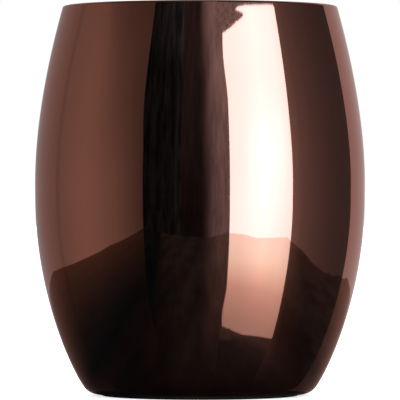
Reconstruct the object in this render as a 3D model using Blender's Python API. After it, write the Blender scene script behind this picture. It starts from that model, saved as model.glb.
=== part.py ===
"""Double-walled barrel tumbler: a handleless metal cup with a mirror-polished, copper-coloured shell.

Run with: blender --background --python part.py
Metres, +Z up. The origin is the middle of the foot, on the surface that the cup stands on.
Every piece is turned about Z from an outline of (radius, height) points.
"""
import math

import bmesh
import bpy
from mathutils import Vector

MM = 0.001
GAP = 0.3 * MM                         # clearance between neighbouring pieces
SEGMENTS = 48                          # facets round the cup
SMALL_SEGMENTS = 24                    # facets round the getter and the seal bead
CREASE = math.radians(40)              # edges sharper than this stay sharp when shaded
MERGE_DISTANCE = 0.001 * MM            # corners closer than this become one
HALVINGS = 40                          # how often the search for a place on the wall halves its range

# Chords along each outline
SHELL_STEPS = 14
CUP_STEPS = 9
FOIL_STEPS = 7
CURVE_STEPS = 4                        # heel, cup corner, neck and bead
LIP_STEPS = 8

# Outside form of the cup
HEIGHT = 102.0 * MM
MOUTH_RADIUS = 36.06 * MM              # outside of the wall, just under the lip
MOUTH_LEAN = math.radians(15.4)        # the wall leans in by this much at the mouth
MOUTH_REACH = 30.0 * MM                # how far the mouth's lean carries down the wall
BELLY_RADIUS = 43.2 * MM
BELLY_HEIGHT = 52.1 * MM
BELLY_REACH_UP = 3.9 * MM              # how far the upright belly carries up the wall
BELLY_REACH_DOWN = 25.3 * MM           # and down it
HEEL_LEAN = math.radians(36.0)         # the wall's lean where the heel's rounding starts
HEEL_REACH = 5.6 * MM
HEEL_RADIUS = 4.6 * MM                 # rounding between the wall and the flat base
FLAT_RADIUS = 26.7 * MM                # where that rounding meets the flat base

# Sheet metal
SHELL_SHEET = 0.6 * MM
CUP_SHEET = 0.5 * MM
FOIL_SHEET = 0.2 * MM
PLATE_SHEET = 0.6 * MM
COVER_SHEET = 0.5 * MM

# Shell's turned-in base
SHELL_FOOT = 0.4 * MM                  # the metal stays this far above the surface
REBATE_RADIUS = FLAT_RADIUS - SHELL_SHEET    # outer wall of the groove that holds the foot ring
FLANGE_UNDERSIDE = 1.7 * MM
FLANGE_HOLE_RADIUS = 21.9 * MM

# Inner cup
VACUUM_GAP = 3.6 * MM
NECK_TOP = 94.0 * MM                   # upright from the lip to here, then it swells with the barrel
NECK_BOTTOM = 82.0 * MM
NECK_REACH = 5.0 * MM
CUP_FLOOR = 7.5 * MM                   # underside of the inner cup's floor
CUP_CORNER_RADIUS = 9.0 * MM           # outside rounding between its wall and floor

# Radiation foil
FOIL_BOTTOM = 20.0 * MM
FOIL_TOP = 80.0 * MM

# Base plate, with the pump-out hole in a dimple at its middle
PLATE_RADIUS = 20.6 * MM
PLATE_STEP_RADIUS = 16.0 * MM
PLATE_STEP_RISE = 0.8 * MM
DIMPLE_RADIUS = 4.0 * MM
DIMPLE_RISE = 1.0 * MM
DIMPLE_RAMP = 0.8 * MM
PUMP_HOLE_RADIUS = 1.0 * MM

# Weld bead round the base plate
BASE_WELD_HEIGHT = 1.0 * MM

# Seal bead under the pump-out hole
BEAD_BULGE = 0.9 * MM                  # how far it hangs below the dimple
BEAD_EDGE = 0.3 * MM                   # its upright rim

# Getter, off to one side of the dimple
GETTER_OFFSET = 10.2 * MM
GETTER_RADIUS = 4.6 * MM
GETTER_SHEET = 0.3 * MM
GETTER_HEIGHT = 2.5 * MM
PELLET_HEIGHT = 1.5 * MM
PELLET_CHAMFER = 0.3 * MM

# Base cover and foot ring
COVER_RADIUS = 22.1 * MM
COVER_UNDERSIDE = 0.6 * MM
COVER_RECESS_RADIUS = 18.5 * MM
COVER_RECESS_RISE = 0.25 * MM
COVER_RECESS_RAMP = 0.8 * MM
RING_INNER_RADIUS = COVER_RADIUS + GAP
RING_OUTER_RADIUS = REBATE_RADIUS - GAP
RING_HEIGHT = FLANGE_UNDERSIDE - GAP
RING_CHAMFER = 0.3 * MM

LIP_RADIUS = (SHELL_SHEET + GAP + CUP_SHEET) / 2


def bezier(p0, p1, p2, p3, t):
    """Point and direction at t on a cubic curve."""
    s = 1 - t
    point = s**3 * p0 + 3 * s * s * t * p1 + 3 * s * t * t * p2 + t**3 * p3
    slope = s * s * (p1 - p0) + 2 * s * t * (p2 - p1) + t * t * (p3 - p2)
    return point, slope.normalized()


def leaning(lean):
    """Upward direction of a wall that leans by this angle away from upright, outwards if positive."""
    return Vector((math.sin(lean), math.cos(lean)))


def heel_centre():
    """Centre of the rounding between the wall and the flat base."""
    return Vector((FLAT_RADIUS, SHELL_FOOT + HEEL_RADIUS))


def mouth_point():
    """Outer corner of the shell's top edge, a gap below the half-round lip."""
    height = HEIGHT - LIP_RADIUS + LIP_RADIUS * math.sin(MOUTH_LEAN) - GAP * math.cos(MOUTH_LEAN)
    return Vector((MOUTH_RADIUS, height))


def wall_course(u):
    """Point and upward direction on the wall; u is 0 at the heel, 1 at the belly and 2 at the mouth."""
    belly = Vector((BELLY_RADIUS, BELLY_HEIGHT))
    up = Vector((0.0, 1.0))
    if u < 1:
        outwards = Vector((math.cos(HEEL_LEAN), -math.sin(HEEL_LEAN)))
        heel = heel_centre() + HEEL_RADIUS * outwards
        return bezier(heel, heel + HEEL_REACH * leaning(HEEL_LEAN),
                      belly - BELLY_REACH_DOWN * up, belly, u)
    mouth = mouth_point()
    return bezier(belly, belly + BELLY_REACH_UP * up,
                  mouth - MOUTH_REACH * leaning(-MOUTH_LEAN), mouth, u - 1)


def wall(u, inset=0.0):
    """Point on the wall at u, moved into the cup by inset."""
    point, way = wall_course(u)
    return point + inset * Vector((-way.y, way.x))


def spread(start, end, steps):
    """Evenly spaced values from start to end, both included."""
    return [start + (end - start) * i / steps for i in range(steps + 1)]


def arc(centre, radius, start, end, steps):
    """Points along an arc; the angles are in radians from +radius towards +height."""
    return [centre + radius * Vector((math.cos(a), math.sin(a))) for a in spread(start, end, steps)]


def solve(too_low):
    """The u between the heel and the mouth at which too_low turns false, by halving."""
    low, high = 0.0, 2.0
    for _ in range(HALVINGS):
        middle = (low + high) / 2
        if too_low(middle):
            low = middle
        else:
            high = middle
    return low


def wall_stations(bottom, top, steps, inset=0.0):
    """Values of u at which the inset wall climbs from bottom to top in even steps of height."""
    return [solve(lambda u, height=height: wall(u, inset).y < height)
            for height in spread(bottom, top, steps)]


def turned(name, outline, material, segments=SEGMENTS, centre=(0.0, 0.0)):
    """Solid turned about an upright axis; an outline that leaves and meets the axis isn't closed."""
    mesh = bmesh.new()
    corners = [mesh.verts.new((centre[0] + radius, centre[1], height)) for radius, height in outline]
    edges = [mesh.edges.new(pair) for pair in zip(corners, corners[1:])]
    if outline[0][0] > 0 and outline[-1][0] > 0:
        edges.append(mesh.edges.new((corners[-1], corners[0])))
    bmesh.ops.spin(mesh, geom=corners + edges, cent=(centre[0], centre[1], 0.0), axis=(0.0, 0.0, 1.0),
                   angle=math.tau, steps=segments, use_merge=True)
    return finished(name, mesh, material)


def finished(name, mesh, material):
    """Merge, face outwards, shade smooth and place one piece in the scene."""
    bmesh.ops.remove_doubles(mesh, verts=mesh.verts, dist=MERGE_DISTANCE)
    bmesh.ops.recalc_face_normals(mesh, faces=mesh.faces)
    data = bpy.data.meshes.new(name)
    mesh.to_mesh(data)
    mesh.free()
    data.shade_smooth()
    data.set_sharp_from_angle(angle=CREASE)
    data.materials.append(material)
    piece = bpy.data.objects.new(name, data)
    bpy.context.scene.collection.objects.link(piece)
    return piece


def finish(name, colour, metallic, roughness):
    """One plain material."""
    material = bpy.data.materials.new(name)
    material.use_nodes = True
    shader = material.node_tree.nodes["Principled BSDF"]
    shader.inputs["Base Color"].default_value = (*colour, 1.0)
    shader.inputs["Metallic"].default_value = metallic
    shader.inputs["Roughness"].default_value = roughness
    return material


def outer_shell():
    """Polished outer skin, from the lip down to the flange that carries the base plate."""
    up = [0.0] + wall_stations(wall(0.0).y, mouth_point().y, SHELL_STEPS)[1:-1] + [2.0]
    outside = [wall(u) for u in reversed(up)]
    heel_turn = (-HEEL_LEAN, -math.pi / 2)
    outside += arc(heel_centre(), HEEL_RADIUS, *heel_turn, CURVE_STEPS)[1:]
    inside = arc(heel_centre(), HEEL_RADIUS - SHELL_SHEET, *reversed(heel_turn), CURVE_STEPS)[:-1]
    inside += [wall(u, SHELL_SHEET) for u in up]
    groove_top = FLANGE_UNDERSIDE + SHELL_SHEET
    base = [Vector((REBATE_RADIUS, SHELL_FOOT)),
            Vector((REBATE_RADIUS, FLANGE_UNDERSIDE)),
            Vector((FLANGE_HOLE_RADIUS, FLANGE_UNDERSIDE)),
            Vector((FLANGE_HOLE_RADIUS, groove_top)),
            Vector((FLAT_RADIUS, groove_top))]
    return turned("outer_shell", outside + base + inside,
                  finish("copper_mirror", (0.42, 0.185, 0.13), 1.0, 0.04))


def cup_line(sheet):
    """One face of the inner cup, from the lip down to the axis, lying sheet inside its outer face."""
    inset = SHELL_SHEET + VACUUM_GAP + sheet
    radius = CUP_CORNER_RADIUS - sheet
    floor = CUP_FLOOR + sheet
    corner = solve(lambda u: wall(u, inset + radius).y < floor + radius)
    centre = wall(corner, inset + radius)
    corner_start = wall(corner, inset) - centre
    sides = wall_stations(wall(corner, inset).y, NECK_BOTTOM, CUP_STEPS, inset)[1:]
    lip = wall(2.0, SHELL_SHEET + GAP + sheet)
    neck = Vector((lip.x, NECK_TOP))
    swell = wall(sides[-1], inset)
    _, way = wall_course(sides[-1])
    bend = [bezier(neck, neck - Vector((0.0, NECK_REACH)), swell + NECK_REACH * way, swell, t)[0]
            for t in spread(0.0, 1.0, CURVE_STEPS)]
    line = [lip] + bend[:-1] + [wall(u, inset) for u in reversed(sides)]
    corner_angle = math.atan2(corner_start.y, corner_start.x)
    line += arc(centre, radius, corner_angle, -math.pi / 2, CURVE_STEPS)
    line.append(Vector((0.0, floor)))
    return line


def inner_cup():
    """The drinking cup itself, a deep-drawn liner held only at its lip."""
    outside = cup_line(0.0)
    inside = cup_line(CUP_SHEET)
    return turned("inner_cup", list(reversed(outside)) + inside,
                  finish("satin_steel", (0.62, 0.60, 0.57), 1.0, 0.28))


def radiant_foil():
    """Bright foil wrapped once round the inner cup, with a narrow slot left where its ends meet."""
    stations = wall_stations(FOIL_BOTTOM, FOIL_TOP, FOIL_STEPS)
    outer_inset = SHELL_SHEET + VACUUM_GAP - GAP - FOIL_SHEET
    near = [wall(u, outer_inset) for u in stations]
    far = [wall(u, outer_inset + FOIL_SHEET) for u in stations]
    mesh = bmesh.new()
    rows = [[mesh.verts.new((p.x, 0.0, p.y)) for p in line] for line in (near, far)]
    strip = [mesh.faces.new((a, b, c, d)) for a, b, c, d in zip(rows[0], rows[0][1:], rows[1][1:], rows[1])]
    turn = math.tau * (SEGMENTS - 1) / SEGMENTS
    bmesh.ops.spin(mesh, geom=strip, cent=(0.0, 0.0, 0.0), axis=(0.0, 0.0, 1.0),
                   angle=turn, steps=SEGMENTS - 1)
    return finished("radiant_foil", mesh, finish("bright_foil", (0.80, 0.80, 0.81), 1.0, 0.2))


def lip_weld():
    """Weld that joins both walls at the mouth, dressed to a half-round lip."""
    lean = leaning(-MOUTH_LEAN)
    across = Vector((math.cos(MOUTH_LEAN), math.sin(MOUTH_LEAN)))
    centre = mouth_point() + GAP * lean - LIP_RADIUS * across
    outline = arc(centre, LIP_RADIUS, MOUTH_LEAN, MOUTH_LEAN + math.pi, LIP_STEPS)
    return turned("lip_weld", outline, finish("copper_lip", (0.42, 0.185, 0.13), 1.0, 0.05))


def plate_face(lift):
    """One face of the base plate, from its rim to the pump-out hole."""
    step = FLANGE_UNDERSIDE + lift + PLATE_STEP_RISE
    return [Vector((PLATE_RADIUS, FLANGE_UNDERSIDE + lift)),
            Vector((PLATE_STEP_RADIUS + PLATE_STEP_RISE, FLANGE_UNDERSIDE + lift)),
            Vector((PLATE_STEP_RADIUS, step)),
            Vector((DIMPLE_RADIUS + DIMPLE_RAMP, step)),
            Vector((DIMPLE_RADIUS, step + DIMPLE_RISE)),
            Vector((PUMP_HOLE_RADIUS, step + DIMPLE_RISE))]


def vacuum_base_plate():
    """Pressed disc that closes the vacuum space from below."""
    outline = plate_face(0.0) + list(reversed(plate_face(PLATE_SHEET)))
    return turned("vacuum_base_plate", outline, finish("raw_steel", (0.52, 0.51, 0.50), 1.0, 0.38))


def base_weld():
    """Weld bead between the shell's flange and the base plate."""
    middle = FLANGE_UNDERSIDE + PLATE_SHEET / 2
    inner = PLATE_RADIUS + GAP
    outer = FLANGE_HOLE_RADIUS - GAP
    crown = BASE_WELD_HEIGHT / 2
    shoulder = PLATE_SHEET / 2
    centre = (inner + outer) / 2
    outline = [Vector((outer, middle + shoulder)), Vector((outer, middle - shoulder)),
               Vector((centre, middle - crown)), Vector((inner, middle - shoulder)),
               Vector((inner, middle + shoulder)), Vector((centre, middle + crown))]
    return turned("base_weld", outline, finish("weld_steel", (0.40, 0.38, 0.36), 1.0, 0.45))


def seal_bead():
    """Solder-glass bead that closes the pump-out hole from below, with a stub up through the hole."""
    top = FLANGE_UNDERSIDE + PLATE_STEP_RISE + DIMPLE_RISE - GAP
    stub = PUMP_HOLE_RADIUS - GAP
    radius = DIMPLE_RADIUS - 2 * GAP
    stub_top = top + 2 * GAP + PLATE_SHEET
    dome = [Vector((radius * math.cos(a), top - BEAD_EDGE - (BEAD_BULGE - BEAD_EDGE) * math.sin(a)))
            for a in spread(0.0, math.pi / 2, CURVE_STEPS)]
    dome[-1] = Vector((0.0, top - BEAD_BULGE))
    outline = [Vector((0.0, stub_top)), Vector((stub, stub_top)), Vector((stub, top)),
               Vector((radius, top))] + dome
    return turned("seal_bead", outline, finish("solder_glass", (0.06, 0.08, 0.07), 0.0, 0.25),
                  SMALL_SEGMENTS)


def plate_top():
    """Height of the base plate's upper face round its dimple."""
    return FLANGE_UNDERSIDE + PLATE_STEP_RISE + PLATE_SHEET


def getter_holder():
    """Small pressed cup, spot-welded to the base plate inside the vacuum space."""
    floor = plate_top() + GAP
    rim = floor + GETTER_HEIGHT
    inner = GETTER_RADIUS - GETTER_SHEET
    outline = [Vector((0.0, floor + GETTER_SHEET)), Vector((inner, floor + GETTER_SHEET)),
               Vector((inner, rim)), Vector((GETTER_RADIUS, rim)),
               Vector((GETTER_RADIUS, floor)), Vector((0.0, floor))]
    return turned("getter_holder", outline, finish("pressed_steel", (0.55, 0.54, 0.52), 1.0, 0.35),
                  SMALL_SEGMENTS, (GETTER_OFFSET, 0.0))


def getter_pellet():
    """Sintered pellet that takes up the gas left in the vacuum space."""
    bottom = plate_top() + 2 * GAP + GETTER_SHEET
    top = bottom + PELLET_HEIGHT
    radius = GETTER_RADIUS - GETTER_SHEET - GAP
    outline = [Vector((0.0, top)), Vector((radius - PELLET_CHAMFER, top)),
               Vector((radius, top - PELLET_CHAMFER)),
               Vector((radius, bottom)), Vector((0.0, bottom))]
    return turned("getter_pellet", outline, finish("sintered_metal", (0.10, 0.10, 0.11), 0.6, 0.7),
                  SMALL_SEGMENTS, (GETTER_OFFSET, 0.0))


def cover_face(lift):
    """One face of the base cover, from its rim to the axis."""
    recess = COVER_UNDERSIDE + lift + COVER_RECESS_RISE
    return [Vector((COVER_RADIUS, COVER_UNDERSIDE + lift)),
            Vector((COVER_RECESS_RADIUS, COVER_UNDERSIDE + lift)),
            Vector((COVER_RECESS_RADIUS - COVER_RECESS_RAMP, recess)),
            Vector((0.0, recess))]


def base_cover():
    """Thin disc under the base that hides the welded plate and its seal."""
    outline = list(reversed(cover_face(0.0))) + cover_face(COVER_SHEET)
    return turned("base_cover", outline, finish("brushed_copper", (0.45, 0.24, 0.17), 1.0, 0.25))


def foot_ring():
    """Silicone ring in the shell's groove; it stands a little proud and the cup rests on it."""
    inner, outer = RING_INNER_RADIUS, RING_OUTER_RADIUS
    outline = [Vector((outer, RING_HEIGHT)), Vector((outer, RING_CHAMFER)),
               Vector((outer - RING_CHAMFER, 0.0)), Vector((inner + RING_CHAMFER, 0.0)),
               Vector((inner, RING_CHAMFER)), Vector((inner, RING_HEIGHT))]
    return turned("foot_ring", outline, finish("black_silicone", (0.012, 0.012, 0.012), 0.0, 0.6))


def main():
    """Empty the scene, then build every piece in its place."""
    for old in list(bpy.data.objects):
        bpy.data.objects.remove(old, do_unlink=True)
    outer_shell()
    inner_cup()
    radiant_foil()
    lip_weld()
    vacuum_base_plate()
    base_weld()
    seal_bead()
    getter_holder()
    getter_pellet()
    base_cover()
    foot_ring()


main()
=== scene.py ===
"""Looks of a double-walled barrel tumbler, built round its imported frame.

Blender 4.5. Metres, +Z up; the origin is the middle of the foot, on the surface that the cup stands on.
Each class is one sub-assembly of the cup, one finish, or one part of the studio that it stands in.
"""
import logging
import math
from dataclasses import dataclass
from enum import Enum
from typing import Callable, Sequence, Union

import bmesh
import bpy
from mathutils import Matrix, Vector, noise


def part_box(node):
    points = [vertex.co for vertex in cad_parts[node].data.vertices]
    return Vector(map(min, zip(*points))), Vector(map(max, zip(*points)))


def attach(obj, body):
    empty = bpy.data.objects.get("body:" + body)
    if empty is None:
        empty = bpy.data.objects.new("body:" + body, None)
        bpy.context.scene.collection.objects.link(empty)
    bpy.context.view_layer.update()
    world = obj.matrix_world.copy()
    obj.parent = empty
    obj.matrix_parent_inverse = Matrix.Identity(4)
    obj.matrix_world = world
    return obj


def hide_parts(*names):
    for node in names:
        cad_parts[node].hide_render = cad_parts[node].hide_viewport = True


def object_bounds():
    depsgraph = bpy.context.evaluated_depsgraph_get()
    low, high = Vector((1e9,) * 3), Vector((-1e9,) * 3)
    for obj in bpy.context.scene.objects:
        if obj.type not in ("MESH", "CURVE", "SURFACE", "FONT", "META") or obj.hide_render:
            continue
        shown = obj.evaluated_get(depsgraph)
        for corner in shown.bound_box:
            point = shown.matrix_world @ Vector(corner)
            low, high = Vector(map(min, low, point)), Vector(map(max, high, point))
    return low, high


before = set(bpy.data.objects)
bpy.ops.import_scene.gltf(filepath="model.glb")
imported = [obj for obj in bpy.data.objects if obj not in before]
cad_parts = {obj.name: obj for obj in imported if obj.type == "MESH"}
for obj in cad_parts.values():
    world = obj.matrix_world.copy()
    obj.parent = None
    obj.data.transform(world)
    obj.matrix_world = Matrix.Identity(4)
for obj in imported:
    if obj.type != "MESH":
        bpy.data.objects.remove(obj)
CAD_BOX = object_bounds()

MM = 0.001
LOG = logging.getLogger("tumbler")
HALVINGS = 40                    # how often a search halves its range
WHOLE = (0.0, 1.0)
REVERSED = (1.0, 0.0)
MOST_GRAIN = (0.3, 0.7)          # nearly all of a random grain lies between these

Outline = list[Vector]
Colour = tuple[float, float, float]
Socket = bpy.types.NodeSocket
NodeInput = Union[float, Colour, Vector, Socket]


# ---------------------------------------------------------------- curves

def line_of(*points: tuple[float, float]) -> Outline:
    """Make an outline from (radius, height) pairs."""
    return [Vector(point) for point in points]


def bezier(p0: Vector, p1: Vector, p2: Vector, p3: Vector, t: float) -> tuple[Vector, Vector]:
    """Find a place on a cubic curve.

    Args:
        p0: Start of the curve.
        p1: Handle that sets the direction in which it leaves the start.
        p2: Handle that sets the direction in which it reaches the end.
        p3: End of the curve.
        t: How far along, from 0 to 1.

    Returns:
        The point, and the unit direction of travel there.
    """
    s = 1 - t
    point = s**3 * p0 + 3 * s * s * t * p1 + 3 * s * t * t * p2 + t**3 * p3
    slope = s * s * (p1 - p0) + 2 * s * t * (p2 - p1) + t * t * (p3 - p2)
    return point, slope.normalized()


def spread(start: float, end: float, steps: int) -> list[float]:
    """Give evenly spaced values from start to end, both included."""
    return [start + (end - start) * i / steps for i in range(steps + 1)]


def arc(centre: Vector, radius: float, start: float, end: float, steps: int) -> Outline:
    """Give points along an arc.

    Args:
        centre: Middle of the arc, as (radius, height).
        radius: The arc's own radius.
        start: First angle in radians, measured from outwards towards upwards.
        end: Last angle.
        steps: Number of chords.

    Returns:
        The points, both ends included.
    """
    return [centre + radius * Vector((math.cos(a), math.sin(a))) for a in spread(start, end, steps)]


def between_stops(stops: Sequence[tuple[float, float]], at: float) -> float:
    """Read a value off a short list of (place, value) stops, straight between them."""
    if at <= stops[0][0]:
        return stops[0][1]
    for (near, first), (far, last) in zip(stops, stops[1:]):
        if at <= far:
            return first + (last - first) * (at - near) / (far - near)
    return stops[-1][1]


# ---------------------------------------------------------------- form of the cup

@dataclass(frozen=True)
class BarrelForm:
    """Outside form of the cup: a rounded heel, a swelling belly and a narrowed mouth."""

    height: float
    belly_radius: float
    shell_foot: float
    mouth_radius: float = 36.06 * MM
    mouth_lean: float = math.radians(15.4)
    mouth_reach: float = 30.0 * MM
    belly_height: float = 52.1 * MM
    belly_reach_up: float = 3.9 * MM
    belly_reach_down: float = 25.3 * MM
    heel_lean: float = math.radians(36.0)
    heel_reach: float = 5.6 * MM
    heel_radius: float = 4.6 * MM
    flat_radius: float = 26.7 * MM
    shell_sheet: float = 0.6 * MM
    cup_sheet: float = 0.5 * MM
    lip_gap: float = 0.3 * MM

    @classmethod
    def of_frame(cls) -> "BarrelForm":
        """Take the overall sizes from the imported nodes."""
        shell_low, shell_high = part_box("outer_shell")
        _, lip_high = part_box("lip_weld")
        return cls(height=lip_high.z, belly_radius=shell_high.x, shell_foot=shell_low.z)

    @property
    def lip_radius(self) -> float:
        """Radius of the half-round lip, which spans both walls."""
        return (self.shell_sheet + self.lip_gap + self.cup_sheet) / 2

    @property
    def heel_centre(self) -> Vector:
        """Centre of the rounding between the wall and the flat base."""
        return Vector((self.flat_radius, self.shell_foot + self.heel_radius))

    @property
    def across(self) -> Vector:
        """Outward direction square to the wall at the mouth."""
        return Vector((math.cos(self.mouth_lean), math.sin(self.mouth_lean)))

    @property
    def lip_centre(self) -> Vector:
        """Centre of the half-round lip."""
        top = self.height - self.lip_radius
        edge = Vector((self.mouth_radius, top + self.lip_radius * self.across.y))
        return edge - self.lip_radius * self.across

    @property
    def wall_top(self) -> Vector:
        """Outer end of the wall, where the lip's rounding starts."""
        return self.lip_centre + self.lip_radius * self.across

    @staticmethod
    def leaning(lean: float) -> Vector:
        """Upward direction of a wall that leans outwards from upright by this angle."""
        return Vector((math.sin(lean), math.cos(lean)))

    def course(self, u: float) -> tuple[Vector, Vector]:
        """Find a place on the wall.

        Args:
            u: 0 at the heel, 1 at the belly, 2 at the mouth.

        Returns:
            The point and the upward direction of the wall there.
        """
        up = Vector((0.0, 1.0))
        belly = Vector((self.belly_radius, self.belly_height))
        if u < 1:
            outwards = Vector((math.cos(self.heel_lean), -math.sin(self.heel_lean)))
            heel = self.heel_centre + self.heel_radius * outwards
            return bezier(heel, heel + self.heel_reach * self.leaning(self.heel_lean),
                          belly - self.belly_reach_down * up, belly, u)
        mouth = self.wall_top - self.lip_gap * self.leaning(-self.mouth_lean)
        return bezier(belly, belly + self.belly_reach_up * up,
                      mouth - self.mouth_reach * self.leaning(-self.mouth_lean), mouth, u - 1)

    def wall(self, u: float, inset: float = 0.0) -> Vector:
        """Point on the wall at u, moved into the cup by inset."""
        point, way = self.course(u)
        return point + inset * Vector((-way.y, way.x))

    def find(self, too_low: Callable[[float], bool]) -> float:
        """Find the u at which too_low turns false, by halving."""
        low, high = 0.0, 2.0
        for _ in range(HALVINGS):
            middle = (low + high) / 2
            low, high = (middle, high) if too_low(middle) else (low, middle)
        return low

    def at_height(self, height: float, inset: float = 0.0) -> float:
        """Find the u at which the inset wall is this high."""
        return self.find(lambda u: self.wall(u, inset).y < height)


# ---------------------------------------------------------------- mesh work

class Lathe:
    """Turns outlines of (radius, height) points into closed, smooth-shaded pieces."""

    crease = math.radians(35)
    weld = 0.0005 * MM

    @classmethod
    def turned(cls, outline: Outline, steps: int,
               centre: tuple[float, float] = (0.0, 0.0)) -> bmesh.types.BMesh:
        """Spin an outline about an upright axis.

        Args:
            outline: Points of the section; it closes itself unless it starts or ends on the axis.
            steps: Facets round the piece.
            centre: Where the axis stands.

        Returns:
            The closed mesh, its normals outwards.
        """
        mesh = bmesh.new()
        corners = [mesh.verts.new((centre[0] + p.x, centre[1], p.y)) for p in outline]
        edges = [mesh.edges.new(pair) for pair in zip(corners, corners[1:])]
        if outline[0].x > 0 and outline[-1].x > 0:
            edges.append(mesh.edges.new((corners[-1], corners[0])))
        bmesh.ops.spin(mesh, geom=corners + edges, cent=(*centre, 0.0), axis=(0.0, 0.0, 1.0),
                       angle=math.tau, steps=steps, use_merge=True)
        cls.tidy(mesh)
        return mesh

    @classmethod
    def tidy(cls, mesh: bmesh.types.BMesh) -> None:
        """Merge doubles and turn every face outwards."""
        bmesh.ops.remove_doubles(mesh, verts=mesh.verts, dist=cls.weld)
        bmesh.ops.recalc_face_normals(mesh, faces=mesh.faces)

    @classmethod
    def soften(cls, mesh: bmesh.types.BMesh, width: float, segments: int = 3) -> None:
        """Round every edge that is sharper than the crease.

        Args:
            mesh: The mesh to change.
            width: Width of the rounding.
            segments: Faces across it.
        """
        sharp = [e for e in mesh.edges if len(e.link_faces) == 2 and e.calc_face_angle() > cls.crease]
        bmesh.ops.bevel(mesh, geom=sharp, offset=width, offset_type="OFFSET", affect="EDGES",
                        segments=segments, profile=0.5, material=-1, clamp_overlap=True)
        bmesh.ops.recalc_face_normals(mesh, faces=mesh.faces)

    @classmethod
    def piece(cls, name: str, mesh: bmesh.types.BMesh, finish: "Finish", slot: str,
              *stands_for: str) -> bpy.types.Object:
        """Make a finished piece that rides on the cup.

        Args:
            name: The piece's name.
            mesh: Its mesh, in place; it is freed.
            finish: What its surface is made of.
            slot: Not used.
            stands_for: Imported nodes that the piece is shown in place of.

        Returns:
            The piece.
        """
        data = bpy.data.meshes.new(name)
        mesh.to_mesh(data)
        mesh.free()
        data.shade_smooth()
        data.set_sharp_from_angle(angle=cls.crease)
        data.materials.append(finish.material())
        piece = bpy.data.objects.new(name, data)
        bpy.context.scene.collection.objects.link(piece)
        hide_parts(*stands_for)
        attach(piece, "root")
        LOG.info("%s: %d faces, in place of %s", name, len(data.polygons), ", ".join(stands_for))
        return piece


# ---------------------------------------------------------------- finishes

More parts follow.
